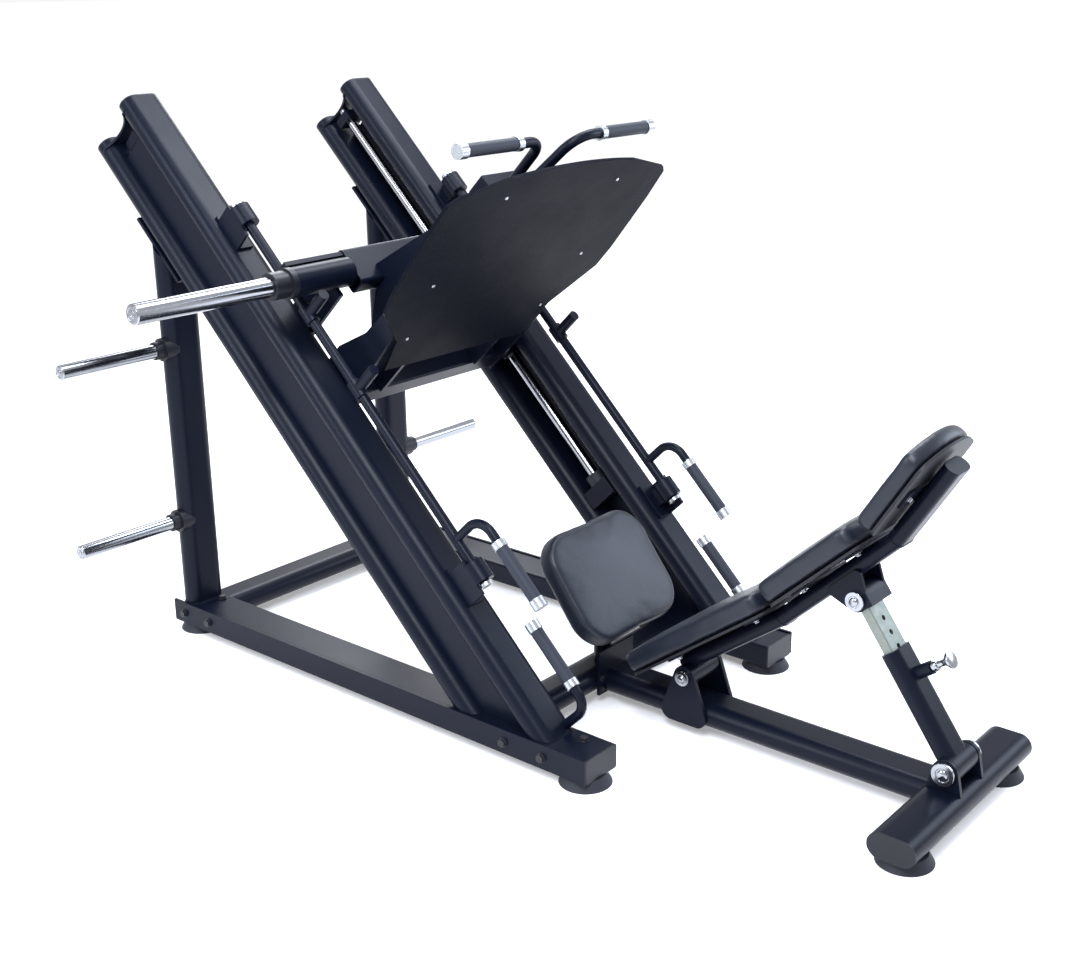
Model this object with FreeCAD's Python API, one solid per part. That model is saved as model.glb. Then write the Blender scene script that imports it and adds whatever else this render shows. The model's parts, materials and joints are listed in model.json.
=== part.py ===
"""Plate-loaded 45 degree hack squat and leg press machine, modelled piece by piece.

Frame: +X to the machine's right, +Y towards the high end of the rails, +Z up, millimetres.
The origin is on the floor at the centre of the machine's footprint.
Most of the machine is set out in a slope frame (x, u, w): u runs up along the rails, and w
stands square to them, measured from the rails' top faces.
"""
import FreeCAD, Part
import math
import os

V = FreeCAD.Vector

# ---------------------------------------------------------------- driving dimensions
RAIL_ANGLE = 45.0          # slope of the rails above the floor, degrees
RAIL_FOOT_Y = -428.0       # where the rails' top faces would meet the floor
RAIL_X = 380.0             # centre of each rail from the middle of the machine
RAIL_TOP_U = 2060.0        # high end of the rails
RAIL_DEPTH = 218.0         # from the upper tube's top face to the lower tube's underside
TUBE_W = 110.0             # flat-oval frame tube, wide side
TUBE_T = 60.0              # flat-oval frame tube, narrow side
WALL = 3.0                 # wall of the frame tubes
CAP = 3.0                  # thickness of the end caps

FOOT_H = 24.0              # height of the rubber feet
BEAM_TOP = FOOT_H + TUBE_T
BEAM_Z = FOOT_H + TUBE_T / 2
BASE_FRONT_Y = -450.0      # front end of the two side beams
REAR_BEAM_Y = 938.0
UPRIGHT_Y = 960.0
FRONT_TUBE_Y = -150.0
FRONT_FOOT_Y = -1118.8
FRONT_FOOT_HALF = 290.0
PLATE_T = 8.0              # laser-cut plates

ROD_R = 15.0               # hardened guide rods
ROD_X = 365.0
ROD_W = -109.0
ROD_LOW_U = 640.0
RUN_GAP = 0.05             # radial running clearance of shafts and bushes

SHAFT_R = 12.5             # safety catch shafts, parallel to the rails
SHAFT_X = 378.0
SHAFT_W = 62.0
CATCH_LOW_U = 539.0        # lower and upper catch bearings
CATCH_HIGH_U = 1602.0
PEG_R = 14.0
PEG_TOP_W = 144.0
HANDLE_U = 632.0           # foot of the catch handle
HANDLE_W = 170.0
HANDLE_END_U = 378.0

TUBE_R = 11.5              # handle tube
GRIP_R = 15.5
COLLAR_R = 17.5
COLLAR_LEN = 18.0
GRIP_CAP_LEN = 24.0

SLED_U = 1350.0            # axis of the weight horns on the sled
SLED_W = 134.0
SLED_BEAM_U = 105.0
SLED_BEAM_W = 50.0
SLED_BEAM_HALF = 258.0
ROOT_R = 36.5
ROOT_END_X = 442.0
COLLAR_END_X = 505.0
HORN_R = 24.0
HORN_TIP_X = 885.0
CARRIAGE_U = 1150.0        # lower cross tube of the sled
PEG_GAP = 4.0              # the sled's root tubes rest this far from the catch pegs
PEG_HIGH_U = SLED_U - ROOT_R - PEG_R - PEG_GAP
PEG_LOW_U = PEG_HIGH_U - 226.0

PLATE_LOW_U = 1102.0       # lower edge of the foot plate
PLATE_LOW_W = 56.0
PLATE_LEAN = 6.0           # lean from square to the rails, degrees
PLATE_HEIGHT = 645.0
FOOT_PLATE_T = 8.0

STORAGE_R = 19.0
STORAGE_TIP_X = 750.0
SPIGOT_R = 16.0            # the horns step down to this inside their collars
STORAGE_Z = (331.0, 810.0)

SEAT_LOW = (-297.0, 216.0)  # lower edge of the seat's top surface, y and z
SEAT_ANGLE = 53.0
SEAT_WIDTH = 372.0
SEAT_LENGTH = 300.0
SEAT_THICK = 60.0

BACK_PIVOT = (-455.0, 148.0)        # y and z of the backrest's hinge
STRUT_PIVOT = (-1119.0, 126.0)      # hinge of the strut on the front foot
CLEVIS_PIVOT = (-882.0, 454.0)      # upper end of the strut
# each pad: the two ends of its top surface's centre line (y, z), its thickness, and its shape
LOWER_PAD = ((-304.0, 178.3), (-663.6, 442.5), 53.0)
MIDDLE_PAD = ((-662.9, 452.6), (-875.7, 649.6), 55.0)
UPPER_PAD = ((-893.7, 655.5), (-1024.1, 866.8), 46.0)
PAD_WIDTH = 250.0
PAD_CORNER = 30.0
PAD_BULGE = 42.0           # rise of the upper pad's rounded end
BOARD_T = 6.0
STRAP_T = 6.0
SPINE = ((-432.0, 166.0), (-690.0, 354.0), (-954.0, 605.0), (-1064.0, 783.0))
BACK_TUBE_W = 80.0
BACK_TUBE_T = 40.0
PIN_R = 12.5
OPEN_PIVOT_GAP = 2.5       # clearance of the strut's upper eye, where the linkage is open
STRUT_TUBE_LEN = 273.0
BAR_W = 64.0
BAR_T = 24.0
BAR_LEN = 290.0
POP_PIN_AT = 208.0         # along the strut from its lower pivot
EYE_R = 20.0
BAR_PITCH = 34.0           # holes in the strut's inner bar

NODES = {}


def keep(name, *solids):
    """Adds solids to the node with this name."""
    NODES.setdefault(name, []).extend(solids)


# ---------------------------------------------------------------- frames and basic shapes
def on_slope(shape):
    """Moves a shape from the slope frame (x, u, w) to the machine's frame."""
    placed = shape.copy()
    placed.rotate(V(0, 0, 0), V(1, 0, 0), RAIL_ANGLE)
    placed.translate(V(0, RAIL_FOOT_Y, 0))
    return placed


def mirrored(shape):
    """The same shape on the other side of the machine's middle plane."""
    return shape.mirror(V(0, 0, 0), V(1, 0, 0))


def box(x0, x1, y0, y1, z0, z1):
    """A box between two corners, given in any order."""
    size = (abs(x1 - x0), abs(y1 - y0), abs(z1 - z0))
    return Part.makeBox(*size, V(min(x0, x1), min(y0, y1), min(z0, z1)))


def cylinder(radius, start, end, bore=0.0):
    """A round bar, or a tube when it has a bore, between two points."""
    axis = end - start
    bar = Part.makeCylinder(radius, axis.Length, start, axis)
    if bore:
        bar = bar.cut(Part.makeCylinder(bore, axis.Length, start, axis))
    return bar


def x_bar(radius, x0, x1, y, z, bore=0.0):
    """A round bar or tube along X."""
    return cylinder(radius, V(x0, y, z), V(x1, y, z), bore)


def oval_wire(width, thick):
    """Flat-oval outline in the XZ plane, wide along X."""
    r = thick / 2
    h = width / 2 - r
    top = Part.LineSegment(V(-h, 0, r), V(h, 0, r)).toShape()
    right = Part.Arc(V(h, 0, r), V(h + r, 0, 0), V(h, 0, -r)).toShape()
    bottom = Part.LineSegment(V(h, 0, -r), V(-h, 0, -r)).toShape()
    left = Part.Arc(V(-h, 0, -r), V(-h - r, 0, 0), V(-h, 0, r)).toShape()
    return Part.Wire([top, right, bottom, left])


def oval_bar(width, thick, length):
    """Solid flat-oval bar along +Y from the origin."""
    return Part.Face(oval_wire(width, thick)).extrude(V(0, length, 0))


def oval_tube(width, thick, length, wall=WALL):
    """Hollow flat-oval tube along +Y from the origin."""
    bore = oval_bar(width - 2 * wall, thick - 2 * wall, length)
    return oval_bar(width, thick, length).cut(bore)


def round_rect_bar(width, height, length, radius):
    """Solid bar with a rounded rectangular section, along +Y, centred on the axis."""
    bar = box(-width / 2, width / 2, 0, length, -height / 2, height / 2)
    edges = [e for e in bar.Edges if abs(e.tangentAt(e.FirstParameter).y) > 0.99]
    return bar.makeFillet(radius, edges)


def round_rect_tube(width, height, length, radius, wall=WALL):
    """Hollow tube with a rounded rectangular section, along +Y."""
    bore = round_rect_bar(width - 2 * wall, height - 2 * wall, length, max(radius - wall, 1.0))
    return round_rect_bar(width, height, length, radius).cut(bore)


def moved(shape, x=0.0, y=0.0, z=0.0):
    """A moved copy."""
    placed = shape.copy()
    placed.translate(V(x, y, z))
    return placed


def turned(shape, axis, angle):
    """A copy turned about an axis through the origin, angle in degrees."""
    placed = shape.copy()
    placed.rotate(V(0, 0, 0), axis, angle)
    return placed


def side_plate(points, x0, x1):
    """Flat plate between two x positions, its outline given as (y, z) or (u, w) points."""
    loop = [V(x0, a, b) for a, b in points]
    face = Part.Face(Part.makePolygon(loop + loop[:1]))
    return face.extrude(V(x1 - x0, 0, 0))


def lug_plate(circles, x0, x1):
    """Plate between two x positions, shaped as the band around a list of (y, z, radius) circles."""
    shape = None
    count = len(circles)
    for i, (y, z, r) in enumerate(circles):
        disc = cylinder(r, V(x0, y, z), V(x1, y, z))
        shape = disc if shape is None else shape.fuse(disc)
        y2, z2, r2 = circles[(i + 1) % count]
        gap = math.hypot(y2 - y, z2 - z)
        if gap < 1e-6:
            continue
        base = math.atan2(z2 - z, y2 - y)
        swing = math.acos((r - r2) / gap)
        quad = []
        for side, (cy, cz, cr) in ((1, (y, z, r)), (1, (y2, z2, r2)), (-1, (y2, z2, r2)), (-1, (y, z, r))):
            angle = base + side * swing
            quad.append((cy + cr * math.cos(angle), cz + cr * math.sin(angle)))
        shape = shape.fuse(side_plate(quad, x0, x1))
    if count > 2:
        shape = shape.fuse(side_plate([(y, z) for y, z, r in circles], x0, x1))
    return shape.removeSplitter()


def bent_path(points, bend):
    """Wire of straight runs joined by tangent arcs of one radius."""
    edges = []
    last = points[0]
    for before, corner, after in zip(points, points[1:], points[2:]):
        a = (before - corner).normalize()
        b = (after - corner).normalize()
        half = a.getAngle(b) / 2
        reach = bend / math.tan(half)
        start = corner + a * reach
        end = corner + b * reach
        middle = (a + b).normalize()
        centre = corner + middle * (bend / math.sin(half))
        edges.append(Part.LineSegment(last, start).toShape())
        edges.append(Part.Arc(start, centre - middle * bend, end).toShape())
        last = end
    edges.append(Part.LineSegment(last, points[-1]).toShape())
    return Part.Wire(edges)


def bent_bar(points, bend, radius):
    """Round bar along a bent path."""
    path = bent_path(points, bend)
    start = points[0]
    ring = Part.Wire(Part.makeCircle(radius, start, points[1] - start))
    return path.makePipeShell([ring], True, False)


def hex_bolt(centre, axis, size=12.0):
    """Hex head with a washer, standing on a face at centre along axis."""
    axis = V(axis).normalize()
    washer = Part.makeCylinder(size, 2.0, centre, axis)
    corners = []
    for i in range(6):
        angle = math.radians(60 * i)
        corners.append(V(math.cos(angle), math.sin(angle), 0) * (size * 0.87))
    head = Part.Face(Part.makePolygon(corners + corners[:1])).extrude(V(0, 0, size * 0.55))
    turn = FreeCAD.Rotation(V(0, 0, 1), axis)
    head.Placement = FreeCAD.Placement(centre + axis * 2.0, turn)
    return washer.fuse(head).removeSplitter()


def slope_point(x, u, w):
    """A slope-frame point in the machine's frame."""
    angle = math.radians(RAIL_ANGLE)
    y = RAIL_FOOT_Y + u * math.cos(angle) - w * math.sin(angle)
    z = u * math.sin(angle) + w * math.cos(angle)
    return V(x, y, z)


BELOW_BEAM_TOP = box(-2000, 2000, -3000, 3000, -2000, BEAM_TOP)


# ---------------------------------------------------------------- base
def cross_bar(y, half, solid=True, width=TUBE_W):
    """Flat-oval bar or tube along X, lying flat at beam height."""
    make = oval_bar if solid else oval_tube
    bar = turned(make(width, TUBE_T, 2 * half), V(0, 0, 1), -90)
    return moved(bar, -half, y, BEAM_Z)


def base():
    side_half = RAIL_X + TUBE_W / 2
    rear_solid = cross_bar(REAR_BEAM_Y, side_half)
    keep("cross_beams", cross_bar(REAR_BEAM_Y, side_half, solid=False))

    for side in (-1, 1):
        x = side * RAIL_X
        length = REAR_BEAM_Y - TUBE_W / 2 + 30.0 - BASE_FRONT_Y
        beam = round_rect_tube(TUBE_W, TUBE_T, length, 6.0)
        beam = moved(beam, x, BASE_FRONT_Y, BEAM_Z).cut(rear_solid)
        keep("base_side_beams", beam)

        outer = side * side_half
        plate = box(outer, outer + side * PLATE_T, BASE_FRONT_Y - 4, 1010, FOOT_H + 2, BEAM_TOP + 3)
        keep("base_side_plates", plate)
        cap = moved(round_rect_bar(TUBE_W, TUBE_T, 4.0, 6.0), x, BASE_FRONT_Y - 4.0, BEAM_Z)
        keep("tube_end_caps", cap)

        for y in (-412.0, 962.0):
            foot = Part.makeCone(62.0, 48.0, FOOT_H, V(side * 385.0, y, 0))
            keep("rubber_feet", foot)
        foot = Part.makeCone(62.0, 48.0, FOOT_H, V(side * 225.0, FRONT_FOOT_Y - 2.0, 0))
        keep("rubber_feet", foot)

        for y in (-330.0, -215.0, 862.0, 968.0):
            spot = V(outer + side * PLATE_T, y, BEAM_Z)
            keep("frame_bolts", hex_bolt(spot, V(side, 0, 0)))
        keep("frame_bolts", hex_bolt(V(side * 361.0, -388.0, BEAM_TOP), V(0, 0, 1)))
        keep("frame_bolts", hex_bolt(V(side * 352.0, 912.0, BEAM_TOP), V(0, 0, 1)))


def uprights():
    head_low_w = -RAIL_DEPTH - PLATE_T
    above = on_slope(box(-1000, 1000, -3000, 4000, head_low_w, 3000))
    for side in (-1, 1):
        x = side * RAIL_X
        post = turned(oval_tube(TUBE_W, TUBE_T, 1400.0), V(1, 0, 0), 90)
        post = moved(post, x, UPRIGHT_Y, BEAM_TOP).cut(above)
        keep("uprights", post)

        head_u = (UPRIGHT_Y - RAIL_FOOT_Y) * math.sqrt(2) + head_low_w
        plate = box(x - 50, x + 50, head_u - 105, head_u + 105, head_low_w, -RAIL_DEPTH)
        keep("uprights", on_slope(plate))
        for u in (head_u - 88, head_u + 88):
            for dx in (-14.0, 14.0):
                spot = slope_point(x + dx, u, head_low_w)
                down = slope_point(0, 0, -1) - slope_point(0, 0, 0)
                keep("frame_bolts", hex_bolt(spot, down, 9.0))

        solid = moved(turned(oval_bar(TUBE_W, TUBE_T, 1400.0), V(1, 0, 0), 90), x, UPRIGHT_Y, BEAM_TOP)
        for z in STORAGE_Z:
            root = side * (RAIL_X + TUBE_W / 2)
            y = UPRIGHT_Y
            start = root + side * 33
            horn = x_bar(STORAGE_R, start, side * STORAGE_TIP_X, y, z)
            horn = horn.makeChamfer(2.0, [max(horn.Edges, key=lambda e: abs(e.CenterOfMass.x))])
            keep("storage_horns", horn.fuse(x_bar(SPIGOT_R, root, start, y, z)).removeSplitter())
            flange = x_bar(31.0, root - side * 28, root + side * 10, y, z, SPIGOT_R)
            sleeve = x_bar(24.0, root + side * 10, root + side * 32, y, z, SPIGOT_R)
            keep("storage_horn_collars", flange.fuse(sleeve).cut(solid).removeSplitter())


def front_base():
    half = RAIL_X - TUBE_W / 2
    keep("cross_beams", cross_bar(FRONT_TUBE_Y, half, solid=False, width=100.0))
    joint_y = FRONT_TUBE_Y - 50.0
    flange = box(-70, 70, joint_y - PLATE_T, joint_y, FOOT_H, 140)
    keep("central_beam", flange)
    for side in (-1, 1):
        for z in (40.0, 68.0):
            keep("frame_bolts", hex_bolt(V(side * 60, joint_y - PLATE_T, z), V(0, -1, 0), 7.0))

    foot_solid = cross_bar(FRONT_FOOT_Y, FRONT_FOOT_HALF - CAP)
    keep("front_foot", cross_bar(FRONT_FOOT_Y, FRONT_FOOT_HALF - CAP, solid=False))
    for side in (-1, 1):
        inner = side * (FRONT_FOOT_HALF - CAP)
        cap = turned(oval_bar(TUBE_W, TUBE_T, CAP), V(0, 0, 1), -90)
        start = inner if side > 0 else inner - CAP
        keep("tube_end_caps", moved(cap, start, FRONT_FOOT_Y, BEAM_Z))

    back = joint_y - PLATE_T
    beam = moved(oval_tube(TUBE_W, TUBE_T, back - FRONT_FOOT_Y), 0, FRONT_FOOT_Y, BEAM_Z)
    keep("central_beam", beam.cut(foot_solid))


# ---------------------------------------------------------------- rails
def rails():
    low_centre = -RAIL_DEPTH + TUBE_T / 2
    high_centre = -TUBE_T / 2
    tube_end = RAIL_TOP_U - CAP
    for side in (-1, 1):
        x = side * RAIL_X
        solids = {}
        for level, w in (("upper", high_centre), ("lower", low_centre)):
            tube = moved(oval_tube(TUBE_W, TUBE_T, tube_end + 400), x, -400, w)
            keep("rail_%s_tubes" % level, on_slope(tube).cut(BELOW_BEAM_TOP))
            solids[level] = moved(oval_bar(TUBE_W, TUBE_T, tube_end + 400), x, -400, w)
            cap = moved(oval_bar(TUBE_W, TUBE_T, CAP), x, tube_end, w)
            keep("tube_end_caps", on_slope(cap))

        gap_low = -RAIL_DEPTH + TUBE_T
        panel = box(side * 400, side * 404, -200, 1985, gap_low, -TUBE_T)
        keep("rail_side_panels", on_slope(panel).cut(BELOW_BEAM_TOP))

        plate = box(x - 55, x + 55, 2034, 2040, low_centre, high_centre)
        for edge in (-1, 1):
            hollow = Part.makeCylinder(95.0, 10.0, V(x + edge * 127, 2032, -109), V(0, 1, 0))
            plate = plate.cut(hollow)
        plate = plate.cut(solids["upper"]).cut(solids["lower"])
        keep("rail_end_plates", on_slope(plate))

        rod_x = side * ROD_X
        rod = cylinder(ROD_R, V(rod_x, ROD_LOW_U, ROD_W), V(rod_x, 2034, ROD_W))
        keep("guide_rods", on_slope(rod))
        block = box(side * 335, side * 400, 625, 675, gap_low, -TUBE_T).cut(rod)
        keep("rod_end_blocks", on_slope(block))
        clamp = box(side * 338, side * 400, 1990, 2016, -136, -82).cut(rod)
        keep("rod_end_blocks", on_slope(clamp))
        bumper = cylinder(27.0, V(rod_x, 675, ROD_W), V(rod_x, 705, ROD_W), ROD_R)
        keep("rod_bumpers", on_slope(bumper))


def catch_bearings():
    for side in (-1, 1):
        for u in (CATCH_LOW_U, CATCH_HIGH_U):
            x = side * SHAFT_X
            foot = box(side * 355, side * 405, u - 52, u + 52, 0, PLATE_T)
            wall = box(side * 397, side * 405, u - 52, u + 40, 0, SHAFT_W)
            house = cylinder(27.0, V(x, u - 26, SHAFT_W), V(x, u + 26, SHAFT_W))
            web = box(x - 6, x + 6, u - 22, u + 22, PLATE_T - 1, SHAFT_W)
            bore = cylinder(SHAFT_R + RUN_GAP, V(x, u - 60, SHAFT_W), V(x, u + 60, SHAFT_W))
            block = foot.fuse(wall).fuse(house).fuse(web).cut(bore)
            keep("catch_bearing_blocks", on_slope(block.removeSplitter()))


def catches():
    for side, name in ((-1, "left"), (1, "right")):
        x = side * SHAFT_X
        shaft = cylinder(SHAFT_R, V(x, CATCH_LOW_U - 38, SHAFT_W), V(x, CATCH_HIGH_U + 38, SHAFT_W))
        keep("catch_shaft_" + name, on_slope(shaft))
        for u in (PEG_LOW_U, PEG_HIGH_U):
            peg = cylinder(PEG_R, V(x, u, SHAFT_W), V(x, u, PEG_TOP_W))
            peg = peg.fuse(cylinder(18.0, V(x, u - 22, SHAFT_W), V(x, u + 22, SHAFT_W)))
            keep("catch_pegs_" + name, on_slope(peg.cut(shaft).removeSplitter()))
        handle = bent_bar([V(x, HANDLE_U, SHAFT_W), V(x, HANDLE_U, HANDLE_W),
                           V(x, HANDLE_END_U + 8, HANDLE_W)], 50.0, TUBE_R)
        keep("catch_handle_" + name, on_slope(handle.cut(shaft)))

        for u in (CATCH_LOW_U - 38, CATCH_HIGH_U + 30):
            ring = cylinder(18.0, V(x, u, SHAFT_W), V(x, u + 8, SHAFT_W), SHAFT_R)
            keep("catch_collars_" + name, on_slope(ring))
        grip_parts("catch_grip_" + name, "catch_collars_" + name,
                   V(x, HANDLE_END_U, HANDLE_W), V(0, 1, 0), 182.0, on_slope)


def grip_parts(grip_node, collar_node, end, direction, length, place):
    """Rubber sleeve between a collar and a closed end cap; end is the cap's outer face."""
    cap_start = end
    sleeve_start = end + direction * GRIP_CAP_LEN
    collar_start = end + direction * (length - COLLAR_LEN)
    finish = end + direction * length
    cap = cylinder(COLLAR_R, cap_start, sleeve_start)
    cap = cap.cut(cylinder(TUBE_R, cap_start + direction * 8.0, sleeve_start))
    keep(collar_node, place(cap))
    keep(grip_node, place(cylinder(GRIP_R, sleeve_start, collar_start, TUBE_R)))
    keep(collar_node, place(cylinder(COLLAR_R, collar_start, finish, TUBE_R)))


def fixed_grips():
    for side in (-1, 1):
        x = side * 349.0
        u0 = 142.0
        w = 86.0
        end_u = 376.0
        rail = moved(oval_bar(TUBE_W, TUBE_T, 1000), side * RAIL_X, -400, -TUBE_T / 2)
        tube = bent_bar([V(x, u0, -6), V(x, u0, w), V(x, end_u - 8, w)], 38.0, TUBE_R)
        keep("fixed_grip_tubes", on_slope(tube.cut(rail)))
        grip_parts("fixed_grips", "fixed_grip_collars", V(x, end_u, w), V(0, -1, 0), 178.0, on_slope)


# ---------------------------------------------------------------- sled
def sled_beam():
    beam = round_rect_tube(SLED_BEAM_U, SLED_BEAM_W, 2 * SLED_BEAM_HALF, 10.0, 4.0)
    beam = moved(turned(beam, V(0, 0, 1), -90), -SLED_BEAM_HALF, SLED_U, SLED_W)
    keep("sled_cross_beam", on_slope(beam))
    for side in (-1, 1):
        x0 = side * SLED_BEAM_HALF
        root = x_bar(ROOT_R, x0, side * ROOT_END_X, SLED_U, SLED_W, SPIGOT_R)
        flat = box(side * SLED_BEAM_HALF, side * ROOT_END_X, SLED_U + 34, SLED_U + 46,
                   SLED_W - 22, SLED_W + 22)
        flat = flat.cut(x_bar(SPIGOT_R, x0, side * ROOT_END_X, SLED_U, SLED_W))
        keep("sled_horn_roots", on_slope(root.fuse(flat).removeSplitter()))
        start = side * (COLLAR_END_X + 1)
        horn = x_bar(HORN_R, start, side * HORN_TIP_X, SLED_U, SLED_W)
        horn = horn.makeChamfer(2.5, [max(horn.Edges, key=lambda e: abs(e.CenterOfMass.x))])
        horn = horn.fuse(x_bar(SPIGOT_R, side * (ROOT_END_X - 90), start, SLED_U, SLED_W))
        keep("weight_horns", on_slope(horn.removeSplitter()))
        flange = x_bar(38.0, side * ROOT_END_X, side * (ROOT_END_X + 16), SLED_U, SLED_W, SPIGOT_R)
        sleeve = x_bar(33.0, side * (ROOT_END_X + 16), side * COLLAR_END_X, SLED_U, SLED_W, SPIGOT_R)
        keep("weight_horn_collars", on_slope(flange.fuse(sleeve).removeSplitter()))


def behind_plate(w):
    """Slope position u of the foot plate's back face at height w."""
    gap = FOOT_PLATE_T / math.cos(math.radians(PLATE_LEAN))
    return PLATE_LOW_U + gap + (w - PLATE_LOW_W) * math.tan(math.radians(PLATE_LEAN))


def carriage():
    half = 288.0
    tube = round_rect_tube(60.0, 60.0, 2 * half, 6.0)
    tube = moved(turned(tube, V(0, 0, 1), -90), -half, CARRIAGE_U, -106)
    keep("sled_lower_tube", on_slope(tube))

    arm = [(1114, -140), (1114, 62), (behind_plate(172), 172), (behind_plate(300), 300),
           (1178, 240), (1186, 112), (1222, 10), (1222, -140)]
    hanger = [(1302, -140), (1302, 109), (1396, 109), (1396, -140)]
    for side in (-1, 1):
        keep("sled_side_plates", on_slope(side_plate(arm, side * half, side * (half + 12))))
        plate = side_plate(hanger, side * half, side * (half + 12))
        plate = plate.cut(x_bar(ROOT_R, side * 250, side * 320, SLED_U, SLED_W))
        keep("sled_side_plates", on_slope(plate))
        for u0, u1 in ((1120.0, 1214.0), (1306.0, 1392.0)):
            x = side * ROD_X
            house = cylinder(27.0, V(x, u0, ROD_W), V(x, u1, ROD_W))
            web = box(side * (half + 12), side * 345, u0 + 6, u1 - 6, ROD_W - 14, ROD_W + 14)
            bore = cylinder(ROD_R + RUN_GAP, V(x, u0 - 5, ROD_W), V(x, u1 + 5, ROD_W))
            keep("slide_bearings", on_slope(house.fuse(web).cut(bore).removeSplitter()))


def on_foot_plate(shape):
    """Moves a shape from the foot plate's own frame: x, depth behind its face, height up it."""
    placed = turned(shape, V(1, 0, 0), -PLATE_LEAN)
    placed.translate(V(0, PLATE_LOW_U, PLATE_LOW_W))
    return on_slope(placed)


def foot_plate():
    half = [(262, 0), (284, 112), (394, 232), (405, 300), (406, 480), (398, 570), (380, 588), (225, 630)]
    right = [V(x, 0, v) for x, v in half]
    left = [V(-x, 0, v) for x, v in reversed(half)]
    edges = []
    for a, b in zip(right, right[1:]):
        edges.append(Part.LineSegment(a, b).toShape())
    edges.append(Part.Arc(right[-1], V(0, 0, PLATE_HEIGHT), left[0]).toShape())
    for a, b in zip(left, left[1:]):
        edges.append(Part.LineSegment(a, b).toShape())
    edges.append(Part.LineSegment(left[-1], right[0]).toShape())
    plate = Part.Face(Part.Wire(edges)).extrude(V(0, FOOT_PLATE_T, 0))
    keep("foot_plate", on_foot_plate(plate))
    for x, v in ((205, 568), (275, 300), (250, 112)):
        for side in (-1, 1):
            screw = Part.makeCone(5.0, 3.0, 2.0, V(side * x, 0, v), V(0, -1, 0))
            keep("foot_plate_screws", on_foot_plate(screw))

    front = SLED_U - SLED_BEAM_U / 2
    low = SLED_W - SLED_BEAM_W / 2
    high = SLED_W + SLED_BEAM_W / 2
    rib = [(behind_plate(62), 62), (behind_plate(610), 610), (behind_plate(610) + 42, 610), (1340, high),
           (front, high), (front, low), (1180, -76), (behind_plate(62), -76)]
    for side in (-1, 1):
        x = side * 172.0
        keep("foot_plate_ribs", on_slope(side_plate(rib, x, x + side * 12)))

    hub = box(-60, 60, behind_plate(490), 1322, 430, 490).cut(on_plate_cutter())
    keep("sled_handle_tubes", on_slope(hub))
    for side in (-1, 1):
        points = [V(side * 34, 1260, 490), V(side * 62, 1250, 694), V(side * 344, 1250, 694)]
        tube = bent_bar(points, 62.0, TUBE_R + 1)
        keep("sled_handle_tubes", on_slope(tube.cut(box(-70, 70, 1100, 1322, 400, 490))))
        end = V(side * 352, 1250, 694)
        handle_grip(end, side)


def on_plate_cutter():
    """The space in front of the foot plate's back face, in the slope frame."""
    slab = box(-500, 500, -400, FOOT_PLATE_T, -300, 900)
    slab = turned(slab, V(1, 0, 0), -PLATE_LEAN)
    slab.translate(V(0, PLATE_LOW_U, PLATE_LOW_W))
    return slab


def handle_grip(end, side):
    """Grip of one top handle, with its outer end at the given slope-frame point."""
    inward = V(-side, 0, 0)
    bore = TUBE_R + 1
    sleeve = end + inward * GRIP_CAP_LEN
    collar = end + inward * 190
    finish = end + inward * 208
    cap = cylinder(COLLAR_R, end, sleeve).cut(cylinder(bore + 0.2, end + inward * 6, sleeve))
    keep("sled_handle_collars", on_slope(cap))
    keep("sled_handle_grips", on_slope(cylinder(GRIP_R, sleeve, collar, bore + 0.2)))
    keep("sled_handle_collars", on_slope(cylinder(COLLAR_R, collar, finish, bore + 0.2)))


# ---------------------------------------------------------------- seat
def seat():
    pad = box(-SEAT_WIDTH / 2, SEAT_WIDTH / 2, 0, SEAT_LENGTH, -SEAT_THICK, 0)
    uprights_ = [e for e in pad.Edges if abs(e.tangentAt(e.FirstParameter).z) > 0.99]
    pad = pad.makeFillet(85.0, uprights_)
    board = box(-130, 130, 45, SEAT_LENGTH - 45, -SEAT_THICK - 8, -SEAT_THICK)
    frames = []
    for shape in (pad, board):
        shape = turned(shape, V(1, 0, 0), SEAT_ANGLE)
        frames.append(moved(shape, 0, SEAT_LOW[0], SEAT_LOW[1]))
    keep("seat_pad", frames[0])
    keep("seat_board", frames[1])
    under = box(-400, 400, -200, 800, -SEAT_THICK - 8, 600)
    under = moved(turned(under, V(1, 0, 0), SEAT_ANGLE), 0, SEAT_LOW[0], SEAT_LOW[1])
    post = cylinder(22.0, V(0, FRONT_TUBE_Y - 14, BEAM_TOP), V(0, FRONT_TUBE_Y - 14, 500)).cut(under)
    keep("seat_post", post)


# ---------------------------------------------------------------- backrest and its strut
def line_frame(a, b):
    """Unit direction of a (y, z) line, and its normal towards the user."""
    length = math.hypot(b[0] - a[0], b[1] - a[1])
    d = ((b[0] - a[0]) / length, (b[1] - a[1]) / length)
    return d, (d[1], -d[0])


def further(a, b, distance):
    """The point beyond b by a distance, on the line from a."""
    d = line_frame(a, b)[0]
    return b[0] + d[0] * distance, b[1] + d[1] * distance


def on_pad(pad, shape):
    """From a pad's own frame: x, then the distance along its top surface, then depth below it."""
    (y0, z0), (y1, z1), thick = pad
    return moved(turned(shape, V(1, 0, 0), math.degrees(math.atan2(z1 - z0, y1 - y0))), 0, y0, z0)


def pad_length(pad):
    """Length of a pad's top surface."""
    (y0, z0), (y1, z1), thick = pad
    return math.hypot(y1 - y0, z1 - z0)


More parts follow.
